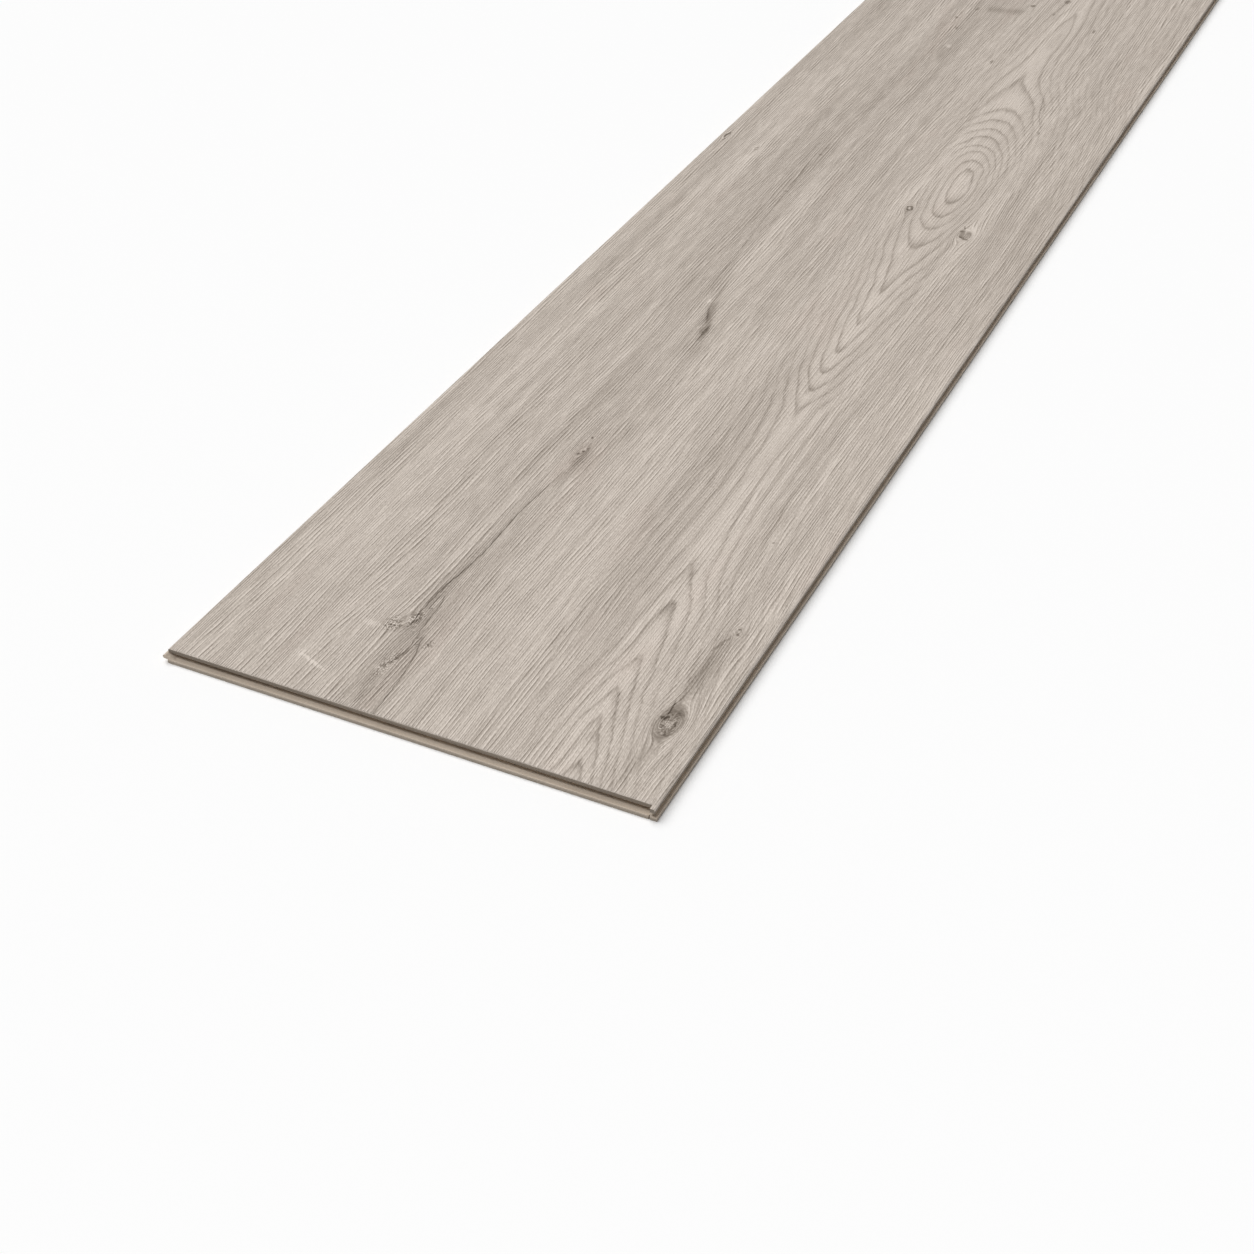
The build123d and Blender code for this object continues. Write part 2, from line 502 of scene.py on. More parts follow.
    def ring(self, along: np.ndarray, line: np.ndarray) -> np.ndarray:
        """Count the growth rings out from the figure's heart.

        Args:
            along: Places along the plank.
            line: Places across with the grain's bends taken out.

        Returns:
            The count, in ovals round the eye and pointed arches elsewhere.
        """
        rank = curve_through(self.apexes, along)
        wavy = line + self.ring_waver.at(along, line)
        side = np.abs(wavy - curve_through(self.centre, along)) / self.ring_spacing
        oval = (rank**self.eye_bow + side**self.eye_bow) ** (1 / self.eye_bow)
        blunt = np.hypot(side, self.arch_tip) - self.arch_tip
        arch = blunt + rank * np.exp(-blunt / self.arch_reach)
        share = curve_through(self.eye_share, along)
        return share * oval + (1 - share) * arch

    def ring_marks(self, along: np.ndarray, across: np.ndarray, line: np.ndarray) -> np.ndarray:
        """Work out what the ring lines are drawn from.

        Args:
            along: Places along the plank.
            across: Places across the plank.
            line: Places across with the grain's bends taken out.

        Returns:
            Rows of ring count, its rise over the millimetre about the place, and boldness.
        """
        count = self.ring(along, line)
        rise = self.ring(along + 0.5, line) - self.ring(along - 0.5, line)
        return np.stack([count, rise, self.ring_strength(along, across)], 1)

    def ring_strength(self, along: np.ndarray, across: np.ndarray) -> np.ndarray:
        """Tell how boldly the rings show, from the cathedral to the plain left side.

        Args:
            along: Places along the plank.
            across: Places across the plank.

        Returns:
            The boldness at each place, from 0 to 1.
        """
        side = across - curve_through(self.centre, along)
        bold = self.ring_least + (1 - self.ring_least) * np.exp(-((side / self.ring_breadth) ** 2))
        return bold * (self.left_least + (1 - self.left_least) * smooth_step(side, *self.left_fade))

    def splits(self, along: np.ndarray, across: np.ndarray) -> np.ndarray:
        """Tell each point how far it lies from the nearest crack.

        Args:
            along: Places along the plank.
            across: Places across the plank.

        Returns:
            Rows of distance to its right or left, place along it and strength, 0 away from every crack.
        """
        rows = np.zeros((len(along), 3))
        rows[:, 0] = self.crack_reach
        for crack in self.cracks:
            offset = across - curve_through(crack.points, along)
            first, last = crack.points[0][0], crack.points[-1][0]
            ends = np.minimum(along - first, last - along)
            fade = crack.strength * smooth_step(ends, -self.crack_lead, crack.taper)
            near = (np.abs(offset) < np.abs(rows[:, 0])) & (ends > -self.crack_skirt)
            rows[near] = np.stack([offset, along - first, fade], 1)[near]
        return rows

    def shade(self, along: np.ndarray, across: np.ndarray) -> np.ndarray:
        """Add up the soft darker and paler stretches.

        Args:
            along: Places along the plank.
            across: Places across the plank.

        Returns:
            How much darker each place is, or paler below zero.
        """
        total = np.zeros(len(along))
        for shade in self.shades:
            start, end = np.array(shade.start), np.array(shade.end)
            run = end - start
            point = np.stack([along, across], 1) - start
            share = np.clip(point @ run / (run @ run), 0, 1)
            away = (point - share[:, None] * run) / (self.shade_ends * shade.half_width, shade.half_width)
            total += shade.strength * np.exp(-(away**2).sum(1))
        return total

    def spotted(self, along: np.ndarray, across: np.ndarray) -> np.ndarray:
        """Tell which places may show a part of a spot.

        Args:
            along: Places along the plank.
            across: Places across the plank.

        Returns:
            True for each place near a spot.
        """
        found = np.zeros(len(along), bool)
        for spot in self.spots:
            reach = self.spot_reach * max(spot.half_length, spot.half_width) + self.spot_stray
            found |= np.hypot(along - spot.along, across - spot.across) < reach
        return found

    def relief(self, along: np.ndarray, across: np.ndarray) -> np.ndarray:
        """Work out the emboss.

        Args:
            along: Places along the plank.
            across: Places across the plank.

        Returns:
            The depth below the face at each place, never below zero.
        """
        line = self.warped(along, across)
        depth = self.mean_depth + self.pore_waver.at(along, line)
        swell = np.cos(2 * math.pi * self.ring(along, line)) * self.ring_strength(along, across)
        depth = depth + self.ring_depth * swell
        for spot in self.spots:
            if spot.kind in (Kind.DARK, Kind.EYE):
                pit = smooth_step(spot.radius(along, across), *self.spot_pit)
                depth = depth + self.spot_depth * spot.strength * pit
        offset, _, strength = self.splits(along, across).T
        depth = depth + self.crack_depth * strength * smooth_step(np.abs(offset), *self.crack_pit)
        return np.maximum(depth, 0)

    def marks(self, along: np.ndarray, across: np.ndarray) -> dict[Mark, np.ndarray]:
        """Work out what the finishes read at each point.

        Args:
            along: Places along the plank.
            across: Places across the plank.

        Returns:
            Rows of one or three numbers for each mark.
        """
        line = self.warped(along, across)
        return {
            Mark.PLACE: np.stack([along, across, np.zeros(len(along))], 1),
            Mark.GRAIN: np.stack([along, line, np.zeros(len(along))], 1),
            Mark.RING: self.ring_marks(along, across, line),
            Mark.CRACK: self.splits(along, across),
            Mark.SHADE: self.shade(along, across),
        }


class Wiring:
    """Adds and joins the nodes of one tree."""

    def __init__(self, tree: bpy.types.NodeTree) -> None:
        """Take the tree to work on."""
        self.tree = tree

    def node(self, kind: str, **settings: object) -> bpy.types.Node:
        """Add a node.

        Args:
            kind: Blender's name of the node, without its ShaderNode prefix.
            settings: Properties to set on it.

        Returns:
            The new node.
        """
        made = self.tree.nodes.new(kind if kind.startswith("Node") else "ShaderNode" + kind)
        for name, value in settings.items():
            setattr(made, name, value)
        return made

    def feed(self, socket: Socket, source: Source) -> None:
        """Link a socket to another one, or set its own value.

        Args:
            socket: The socket to feed.
            source: The socket that feeds it, or its value.
        """
        if isinstance(source, Socket):
            self.tree.links.new(source, socket)
        else:
            socket.default_value = source

    def wired(self, kind: str, *sources: Source, **settings: object) -> bpy.types.Node:
        """Add a node and feed its first inputs.

        Args:
            kind: Blender's name of the node, without its ShaderNode prefix.
            sources: What feeds the inputs, in their order.
            settings: Properties to set on it.

        Returns:
            The new node.
        """
        made = self.node(kind, **settings)
        for socket, source in zip(made.inputs, sources):
            self.feed(socket, source)
        return made

    def math(self, operation: str, *sources: Source) -> Socket:
        """Join numbers by one operation."""
        return self.wired("Math", *sources, operation=operation).outputs[0]

    def product(self, first: Source, *others: Source) -> Source:
        """Product of values.

        Args:
            first: One value.
            others: The values to multiply it by.

        Returns:
            The product.
        """
        result = first
        for value in others:
            result = self.math("MULTIPLY", result, value)
        return result

    def total(self, *parts: tuple[Source, float]) -> Source:
        """Sum of values, each times its weight.

        Args:
            parts: Values and weights.

        Returns:
            The sum.
        """
        result: Source = 0.0
        for value, weight in parts:
            result = self.math("MULTIPLY_ADD", value, weight, result)
        return result

    def rise(self, value: Source, low: float, high: float) -> Socket:
        """Rise softly from 0 at low to 1 at high, or fall where high is below low.

        Args:
            value: Where to read the rise.
            low: Value that gives 0.
            high: Value that gives 1.

        Returns:
            The rise.
        """
        ends = (low, high, 0.0, 1.0) if low < high else (high, low, 1.0, 0.0)
        return self.wired("MapRange", value, *ends, interpolation_type="SMOOTHSTEP", clamp=True).outputs[0]

    def mark(self, mark: Mark) -> bpy.types.Node:
        """Read one of the grid's attributes."""
        return self.node("Attribute", attribute_type="GEOMETRY", attribute_name=mark.value)

    def split(self, vector: Socket) -> list[Socket]:
        """The three numbers of a vector."""
        return list(self.wired("SeparateXYZ", vector).outputs)

    def join(self, x: Source, y: Source, z: Source) -> Socket:
        """A vector of three numbers."""
        return self.wired("CombineXYZ", x, y, z).outputs[0]

    def ramp(self, value: Source, stops: Sequence[tuple[float, tuple]]) -> Socket:
        """Colour by value.

        Args:
            value: Where to read the colour, from 0 to 1.
            stops: Places and their colours, in order.

        Returns:
            The colour.
        """
        made = self.wired("ValToRGB", value)
        band = made.color_ramp.elements
        while len(band) < len(stops):
            band.new(1.0)
        for element, (place, colour) in zip(band, stops):
            element.position = place
            element.color = colour
        return made.outputs["Color"]

    def mix(self, share: Source, first: Source, second: Source, how: str = "MIX") -> Socket:
        """Mix two colours.

        Args:
            share: How much the second one counts, from 0 to 1.
            first: One colour.
            second: The colour that is laid over it.
            how: Blender's name of the way they mix.

        Returns:
            The mixed colour.
        """
        made = self.node("Mix", data_type="RGBA", blend_type=how, clamp_factor=True)
        colours = [socket for socket in made.inputs if socket.type == "RGBA"]
        for socket, source in zip((made.inputs["Factor"], *colours), (share, first, second)):
            self.feed(socket, source)
        return next(socket for socket in made.outputs if socket.type == "RGBA")

    def noise(self, vector: Source, detail: float, rough: float = 0.55) -> Socket:
        """Smooth noise about a middle of 0, in patches of about one unit.

        Args:
            vector: Where to read the noise.
            detail: How many finer layers it has.
            rough: How strong these are.

        Returns:
            The noise.
        """
        made = self.node("TexNoise", noise_dimensions="3D", normalize=True)
        for name, source in (("Vector", vector), ("Scale", 1.0), ("Detail", detail), ("Roughness", rough)):
            self.feed(made.inputs[name], source)
        return self.math("SUBTRACT", made.outputs[0], 0.5)

    def place(self, group: bpy.types.NodeTree, **sources: Source) -> bpy.types.Node:
        """Place a node group.

        Args:
            group: The group.
            sources: What feeds its inputs, by their names.

        Returns:
            The group's node.
        """
        made = self.node("Group", node_tree=group)
        for name, source in sources.items():
            self.feed(made.inputs[name], source)
        return made


class Surface(Wiring):
    """The nodes of one material, which end in its shader."""

    def __init__(self, name: str) -> None:
        """Start a material of that name."""
        self.material = bpy.data.materials.new(name)
        self.material.use_nodes = True
        super().__init__(self.material.node_tree)
        self.shader = self.tree.nodes["Principled BSDF"]

    def coat(self, colour: Socket, roughness: Socket, height: Socket, depth: float) -> bpy.types.Material:
        """Finish one of the plank's surfaces.

        Args:
            colour: Its colour.
            roughness: Its roughness.
            height: Its fine relief.
            depth: How far a height of 1 rises.

        Returns:
            The material.
        """
        bump = self.node("Bump")
        bump.inputs["Distance"].default_value = depth
        self.feed(bump.inputs["Height"], height)
        self.feed(self.shader.inputs["Base Color"], colour)
        self.feed(self.shader.inputs["Roughness"], roughness)
        self.feed(self.shader.inputs["Normal"], bump.outputs["Normal"])
        self.shader.inputs["Specular IOR Level"].default_value = MATTE_GLOSS
        return self.material


class EffectGroup(Wiring):
    """The nodes of a group that several finishes share."""

    def __init__(
        self, name: str, vectors: Sequence[str], numbers: Sequence[str], masks: Sequence[str]
    ) -> None:
        """Make the group's sockets.

        Args:
            name: The group's name.
            vectors: Names of the inputs that are vectors.
            numbers: Names of the inputs that are numbers.
            masks: Names of the outputs, which are numbers.
        """
        super().__init__(bpy.data.node_groups.new(name, "ShaderNodeTree"))
        sockets = [(label, "INPUT", "NodeSocketVector") for label in vectors]
        sockets += [(label, "INPUT", "NodeSocketFloat") for label in numbers]
        sockets += [(label, "OUTPUT", "NodeSocketFloat") for label in masks]
        for label, way, kind in sockets:
            self.tree.interface.new_socket(name=label, in_out=way, socket_type=kind)
        self.given = self.node("NodeGroupInput").outputs
        self.result = self.node("NodeGroupOutput").inputs


def fibre_group() -> bpy.types.NodeTree:
    """Streaks that run along the first axis of a place in millimetres.

    Returns:
        The group, with a number about 0 as its output.
    """
    group = EffectGroup("Fibre streaks", ["Place"], ["Length", "Width", "Layer"], ["Streak"])
    along, across, _ = group.split(group.given["Place"])
    reach = group.math("DIVIDE", along, group.given["Length"])
    step = group.math("DIVIDE", across, group.given["Width"])
    streak = group.noise(group.join(reach, step, group.given["Layer"]), 2.0, 0.5)
    group.feed(group.result["Streak"], streak)
    return group.tree


def scored_group() -> bpy.types.NodeTree:
    """Thin dark lines, partly painted shade, each with a pale edge of painted highlight, side by side along
    the first axis of a place in millimetres.

    Returns:
        The group, with the dark lines and their pale edges as outputs from 0 to 1.
    """
    # How the lines wander: patches in lengths and pitches, a layer of their own, and how many pitches
    drifts = ((9.4, 9.0, 1.0, 5.0), (0.9, 1.6, 2.0, 0.4))
    # How far apart neighbouring lines read the noise that breaks them up, and where that shows them
    apart = 5.3
    shown_edge = (-0.2, 0.1)
    # Shift from the line's middle and half breadth of each output, and the breadth that is full, in pitches
    # Dark is the line, partly painted shade; Pale is a painted highlight beside it
    bands = {"Dark": (0.0, 0.24), "Pale": (0.3, 0.2)}
    full = 0.04
    group = EffectGroup("Scored lines", ["Place"], ["Pitch", "Length", "Layer"], list(bands))
    layer = group.given["Layer"]
    along, across, _ = group.split(group.given["Place"])
    step = group.math("DIVIDE", across, group.given["Pitch"])
    reach = group.math("DIVIDE", along, group.given["Length"])
    phase = step
    for stretch, breadth, own_layer, sway in drifts:
        patch = (group.math("DIVIDE", reach, stretch), group.math("DIVIDE", step, breadth))
        drift = group.noise(group.join(*patch, group.math("ADD", layer, own_layer)), 0.0)
        phase = group.math("MULTIPLY_ADD", drift, sway, phase)
    nearest = group.math("ROUND", phase)
    gap = group.math("SUBTRACT", phase, nearest)
    own = group.join(reach, group.product(nearest, apart), layer)
    shown = group.rise(group.noise(own, 1.0), *shown_edge)
    for label, (shift, half) in bands.items():
        away = group.math("ABSOLUTE", group.math("ADD", gap, shift))
        group.feed(group.result[label], group.product(group.rise(away, half, full), shown))
    return group.tree


def speckle_group() -> bpy.types.NodeTree:
    """Fine mottling in the object's own space, with grains of a size in millimetres.

    Returns:
        The group, with a number about 0 as its output.
    """
    group = EffectGroup("Speckle", [], ["Size"], ["Speckle"])
    place = group.wired("VectorMath", group.node("TexCoord").outputs["Object"], operation="SCALE")
    group.feed(place.inputs["Scale"], group.math("DIVIDE", 1 / MM, group.given["Size"]))
    group.feed(group.result["Speckle"], group.noise(place.outputs[0], 2.0))
    return group.tree


def spot_group() -> bpy.types.NodeTree:
    """One oval spot, whose axes give a place in its own half sizes.

    Returns:
        The group, with a soft filled oval and its rim as outputs from 0 to 1.
    """
    # Where the oval, the rim's inside and the rim's outside are 0 and 1, in half sizes
    fill_edge = (1.25, 0.5)
    inside_edge = (0.15, 0.75)
    outside_edge = (1.2, 0.92)
    # How close the rim's fine circles lie, in radians for each half size, and how far they pale it
    circle_turn = 30.0
    circle_depth = 0.2
    group = EffectGroup("Spot", ["Place", "Middle", "Long", "Short"], [], ["Fill", "Rim"])
    given = group.given
    offset = group.wired("VectorMath", given["Place"], given["Middle"], operation="SUBTRACT").outputs[0]
    u, v = (
        group.wired("VectorMath", offset, given[axis], operation="DOT_PRODUCT").outputs["Value"]
        for axis in ("Long", "Short")
    )
    radius = group.math("SQRT", group.math("MULTIPLY_ADD", u, u, group.product(v, v)))
    group.feed(group.result["Fill"], group.rise(radius, *fill_edge))
    wave = group.math("SINE", group.product(radius, circle_turn))
    circles = group.math("MULTIPLY_ADD", wave, circle_depth, 1 - circle_depth)
    rim = group.product(group.rise(radius, *inside_edge), group.rise(radius, *outside_edge), circles)
    group.feed(group.result["Rim"], rim)
    return group.tree


@dataclass(frozen=True)
class Streaks:
    """A layer of fibre streaks: their size in millimetres, and a number that sets it apart from others."""

    length: float
    width: float
    layer: float


@dataclass(frozen=True)
class Effects:
    """The node groups that the finishes share."""

    fibre: bpy.types.NodeTree
    scored: bpy.types.NodeTree
    speckle: bpy.types.NodeTree
    spot: bpy.types.NodeTree

    def streaks(self, wiring: Wiring, place: Socket, layer: Streaks) -> Socket:
        """Place a layer of fibre streaks.

        Args:
            wiring: The finish's nodes.
            place: Place along and across the streaks.
            layer: The layer.

        Returns:
            A number about 0.
        """
        sizes = {"Length": layer.length, "Width": layer.width, "Layer": layer.layer}
        return wiring.place(self.fibre, Place=place, **sizes).outputs[0]

    def grit(self, wiring: Wiring, size: float) -> Socket:
        """Place speckle with grains of a size in millimetres."""
        return wiring.place(self.speckle, Size=size).outputs[0]


@dataclass(frozen=True)
class RingLines:
    """Broken dark lines of the growth rings, torn along the fibres where they cross them."""

    # Darkness across one ring, from its line through the pale wood to the next line
    profile: Stations = (
        (0.0, 1.0), (0.04, 0.6), (0.1, 0.12), (0.17, 0.0), (0.6, 0.03), (0.79, 0.2), (0.91, 0.66), (1.0, 1.0),
    )
    # The fibres that tear the lines, and the longer ones that leave gaps in them
    tears: Streaks = Streaks(14.0, 0.8, 3.0)
    gaps: Streaks = Streaks(46.0, 2.2, 5.0)
    # How far the lines are torn along the grain, in millimetres for a full swing of the fibres
    tear: float = 5.5
    # How far both kinds of fibres push a line aside, in rings
    tear_push: float = 0.1
    gap_push: float = 0.14
    # How much some lines are paler than others, how much is lost in a gap, and where a gap is
    uneven: float = 0.25
    gap_loss: float = 0.3
    gap_edge: Span = (-0.16, 0.1)
    # Fainter dashes between: how many to a ring, how far fibres push them, and where they start
    dash_count: float = 2.0
    dash_push: float = 0.8
    dash_start: float = 0.45
    dash_edge: Span = (-0.1, 0.2)
    # How dark the dashes are, and how much they show where there are no rings and lose where these are bold
    dash_share: float = 0.3
    dash_plain: float = 1.25
    dash_loss: float = 0.75
    # How much paler the wood is where the rings are bold
    pale_share: float = 0.2

    def across(self, wiring: Wiring, phase: Socket) -> Socket:
        """Darkness at a place counted in rings."""
        stops = [(place, (dark, dark, dark, 1.0)) for place, dark in self.profile]
        return wiring.ramp(wiring.math("FRACT", phase), stops)

    def draw(self, wiring: Wiring, effects: Effects, grain: Socket) -> Socket:
        """Draw all the lines.

        Args:
            wiring: The finish's nodes.
            effects: Shared node groups.
            grain: Place along and across the grain.

        Returns:
            How dark the rings are, from a little below 0 to 1.
        """
        count, climb, strength = wiring.split(wiring.mark(Mark.RING).outputs["Vector"])
        tear = effects.streaks(wiring, grain, self.tears)
        gap = effects.streaks(wiring, grain, self.gaps)
        torn = wiring.product(climb, tear)
        phase = wiring.total((count, 1.0), (torn, self.tear), (gap, self.gap_push), (tear, self.tear_push))
        chance = wiring.node("TexWhiteNoise", noise_dimensions="1D")
        wiring.feed(chance.inputs["W"], wiring.math("FLOOR", wiring.math("ADD", phase, 0.5)))
        depth = wiring.math("MULTIPLY_ADD", chance.outputs["Value"], self.uneven, 1 - self.uneven)
        whole = wiring.rise(gap, *self.gap_edge)
        kept = wiring.math("MULTIPLY_ADD", whole, self.gap_loss, 1 - self.gap_loss)
        bold = wiring.product(self.across(wiring, phase), depth, kept, strength)
        second = wiring.total((phase, self.dash_count), (tear, self.dash_push), (1.0, self.dash_start))
        broken = wiring.rise(wiring.math("SUBTRACT", tear, gap), *self.dash_edge)
        plain = wiring.math("MULTIPLY_ADD", strength, -self.dash_loss, self.dash_plain)
        dashes = wiring.product(self.across(wiring, second), broken, plain)
        return wiring.total((bold, 1.0), (dashes, self.dash_share), (strength, -self.pale_share))


@dataclass(frozen=True)
class CrackLines:
    """Thin dark splits with a soft shade beside them."""

    # How the line wobbles aside and how it swells along its run, and how far, in millimetres
    wobble: Streaks = Streaks(3.0, 1.0, 1.0)
    wobble_reach: float = 0.9
    swell: Streaks = Streaks(9.0, 1.0, 2.0)
    swell_reach: float = 0.7
    # Where the line and its shade begin and where they are full, in millimetres from the middle
    line_edge: Span = (0.32, 0.06)
    shade_edge: Span = (2.0, 0.0)
    shade_share: float = 0.12

    def draw(self, wiring: Wiring, effects: Effects) -> Socket:
        """Draw all the splits.

        Args:
            wiring: The finish's nodes.
            effects: Shared node groups.

        Returns:
            How dark the splits are, from 0 to 1.
        """
        offset, run, strength = wiring.split(wiring.mark(Mark.CRACK).outputs["Vector"])
        place = wiring.join(run, 0.0, 0.0)
        wobble = effects.streaks(wiring, place, self.wobble)
        swell = effects.streaks(wiring, place, self.swell)
        away = wiring.math("ABSOLUTE", wiring.math("MULTIPLY_ADD", wobble, self.wobble_reach, offset))
        away = wiring.math("MULTIPLY_ADD", swell, -self.swell_reach, away)
        line = wiring.rise(away, *self.line_edge)
        shade = wiring.rise(away, *self.shade_edge)
        dark = wiring.total((line, 1 - self.shade_share), (shade, self.shade_share))
        return wiring.product(dark, strength)


@dataclass(frozen=True)
class SpotMarks:
    """Knots, smears, curls and pale tears with ragged outlines."""

    # Grain sizes of the speckle that frays the outlines, and its pull along and across, in millimetres
    coarse: float = 2.4
    coarse_pull: Span = (2.4, -1.3)
    fine: float = 0.9
    fine_pull: Span = (1.4, 1.0)
    # Grain size of the waves in the curls, and how tightly they lie
    wave: float = 3.0
    wave_turn: float = 46.0

    def draw(self, wiring: Wiring, effects: Effects, figure: OakPrint) -> dict[Kind, Source]:
        """Draw all the spots.

        Args:
            wiring: The finish's nodes.
            effects: Shared node groups.
            figure: The print.

        Returns:
            How strong each kind of spot is.
        """
        along, across, _ = wiring.split(wiring.mark(Mark.PLACE).outputs["Vector"])
        coarse = effects.grit(wiring, self.coarse)
        fine = effects.grit(wiring, self.fine)
        frayed = [
            wiring.total((straight, 1.0), (coarse, coarse_pull), (fine, fine_pull))
            for straight, coarse_pull, fine_pull in zip((along, across), self.coarse_pull, self.fine_pull)
        ]
        place = wiring.join(*frayed, 0.0)
        found: dict[Kind, Source] = {kind: 0.0 for kind in Kind}
        for spot in figure.spots:
            long_axis, short_axis = spot.axes()
            middle = (spot.along, spot.across, 0.0)
            drawn = wiring.place(effects.spot, Place=place, Middle=middle, Long=long_axis, Short=short_axis)
            mask = drawn.outputs["Rim" if spot.kind is Kind.EYE else "Fill"]
            found[spot.kind] = wiring.math("MULTIPLY_ADD", mask, spot.strength, found[spot.kind])
        wave = wiring.math("SINE", wiring.product(effects.grit(wiring, self.wave), self.wave_turn))
        found[Kind.CURL] = wiring.product(found[Kind.CURL], wave)
        return found


@dataclass(frozen=True)
class PrintSteps:
    """How many screen steps each layer pales the print, or darkens it below zero."""

    fine: float = 27.0
    narrow: float = 16.0
    medium: float = 42.0
    broad: float = 40.0
    flecks: float = 80.0
    score: float = -42.0
    # Painted highlight on the pale edge of each scored line
    painted_score_highlight: float = 30.0
    rings: float = -48.0
    shades: float = -42.0
    cracks: float = -62.0
    dark: float = -62.0
    eye: float = -66.0
    pale: float = 24.0
    curl: float = -34.0


@dataclass(frozen=True)
class DecorFinish:
    """Matte printed oak film under a clear embossed wear layer."""

    # Screen steps of the darkest and palest print, and of the ground between fibres
    darkest: float = 60.0
    palest: float = 215.0
    ground: float = 184.0
    # How far red, green and blue lie from a grey of the same steps, and how many colours the ramp has
    warmth: tuple[float, float, float] = (10.5, -0.5, -11.5)
    ramp_count: int = 6
    # Fibres from the finest to the broadest, the pores' flecks and the faintly rosy stretches
    fine: Streaks = Streaks(14.0, 0.4, 11.0)
    narrow: Streaks = Streaks(60.0, 2.2, 12.0)
    medium: Streaks = Streaks(120.0, 4.5, 13.0)
    broad: Streaks = Streaks(280.0, 15.0, 14.0)
    flecks: Streaks = Streaks(1.4, 0.38, 17.0)
    rosy: Streaks = Streaks(90.0, 22.0, 19.0)
    fine_edge: Span = (-0.2, 0.2)
    # How far the flecks step across for each millimetre along
    fleck_slant: float = 0.2
    # How much the fibres show where there are no rings, and how much less where these are bold
    fibre_share: float = 1.1
    fibre_loss: float = 0.5
    # Scored lines: how far apart and how long, in millimetres, and their layer
    score_pitch: float = 1.1
    score_length: float = 14.0
    score_layer: float = 16.0
    rings: RingLines = RingLines()
    cracks: CrackLines = CrackLines()
    spots: SpotMarks = SpotMarks()
    steps: PrintSteps = PrintSteps()
    # Where the print is rosy, how much, and the light that such print sends back
    rosy_edge: Span = (0.06, 0.24)
    rosy_share: float = 0.35
    rosy_tint: tuple[float, float, float, float] = (1.0, 0.955, 0.95, 1.0)
    roughness: float = 0.5
    relief: float = 0.15 * MM

    def level(self, steps: float) -> float:
        """Screen steps as a share of the print's range."""
        return steps / (self.palest - self.darkest)

    def stops(self) -> list[tuple[float, tuple]]:
        """Colours of the print.

        Returns:
            Places on the ramp and their colours, from the darkest to the palest.
        """
        found = []
        for share in (k / (self.ramp_count - 1) for k in range(self.ramp_count)):
            grey = self.darkest + share * (self.palest - self.darkest)
            found.append((share, Paint(*(grey + shift for shift in self.warmth)).linear()))
        return found

    def spot_layers(self, wiring: Wiring, effects: Effects, figure: OakPrint) -> list[tuple[Source, float]]:
        """Draw the print's spots.

        Args:
            wiring: The finish's nodes.
            effects: Shared node groups.
            figure: The print.

        Returns:
            Values and their weights in screen steps.
        """
        drawn = self.spots.draw(wiring, effects, figure)
        return [
            (drawn[Kind.DARK], self.steps.dark),
            (drawn[Kind.EYE], self.steps.eye),
            (drawn[Kind.PALE], self.steps.pale),
            (drawn[Kind.CURL], self.steps.curl),
        ]

    def material(self, effects: Effects, figure: OakPrint, spotted: bool) -> bpy.types.Material:
        """Make the decor's material.

        Args:
            effects: Shared node groups.
            figure: The print.
            spotted: Whether the print's spots are drawn too.

        Returns:
            The material.
        """
        wiring = Surface("oak_knots" if spotted else "oak_decor")
        grain = wiring.mark(Mark.GRAIN).outputs["Vector"]
        along, across, _ = wiring.split(grain)
        slanted = wiring.join(along, wiring.math("MULTIPLY_ADD", along, self.fleck_slant, across), 0.0)
        figured = wiring.split(wiring.mark(Mark.RING).outputs["Vector"])[2]
        calm = wiring.math("MULTIPLY_ADD", figured, -self.fibre_loss, self.fibre_share)
        fine = effects.streaks(wiring, grain, self.fine)
        fibre = wiring.product(wiring.math("SUBTRACT", wiring.rise(fine, *self.fine_edge), 0.5), calm)
        flecks = effects.streaks(wiring, slanted, self.flecks)
        sizes = {"Pitch": self.score_pitch, "Length": self.score_length, "Layer": self.score_layer}
        scored = wiring.place(effects.scored, Place=grain, **sizes)
        score = wiring.product(scored.outputs["Dark"], calm)
        cracks = self.cracks.draw(wiring, effects)
        layers = [
            (1.0, self.ground - self.darkest),
            (fibre, self.steps.fine),
            (effects.streaks(wiring, grain, self.narrow), self.steps.narrow),
            (wiring.product(effects.streaks(wiring, grain, self.medium), calm), self.steps.medium),
            (wiring.product(effects.streaks(wiring, grain, self.broad), calm), self.steps.broad),
            (flecks, self.steps.flecks),
            (score, self.steps.score),
            # Painted highlight beside each scored line
            (wiring.product(scored.outputs["Pale"], calm), self.steps.painted_score_highlight),
            (self.rings.draw(wiring, effects, grain), self.steps.rings),
            (wiring.mark(Mark.SHADE).outputs["Fac"], self.steps.shades),
            (cracks, self.steps.cracks),
        ]
        if spotted:
            layers += self.spot_layers(wiring, effects, figure)
        tone = wiring.total(*((value, self.level(steps)) for value, steps in layers))
        rosy = wiring.rise(effects.streaks(wiring, grain, self.rosy), *self.rosy_edge)
        share = wiring.product(rosy, self.rosy_share)
        colour = wiring.mix(share, wiring.ramp(tone, self.stops()), self.rosy_tint, "MULTIPLY")
        roughness = wiring.total((1.0, self.roughness), (fine, 0.3), (score, 0.1))
        height = wiring.total((fibre, 0.4), (flecks, 0.6), (score, -0.3), (cracks, -1.0))
        return wiring.coat(colour, roughness, height, self.relief)


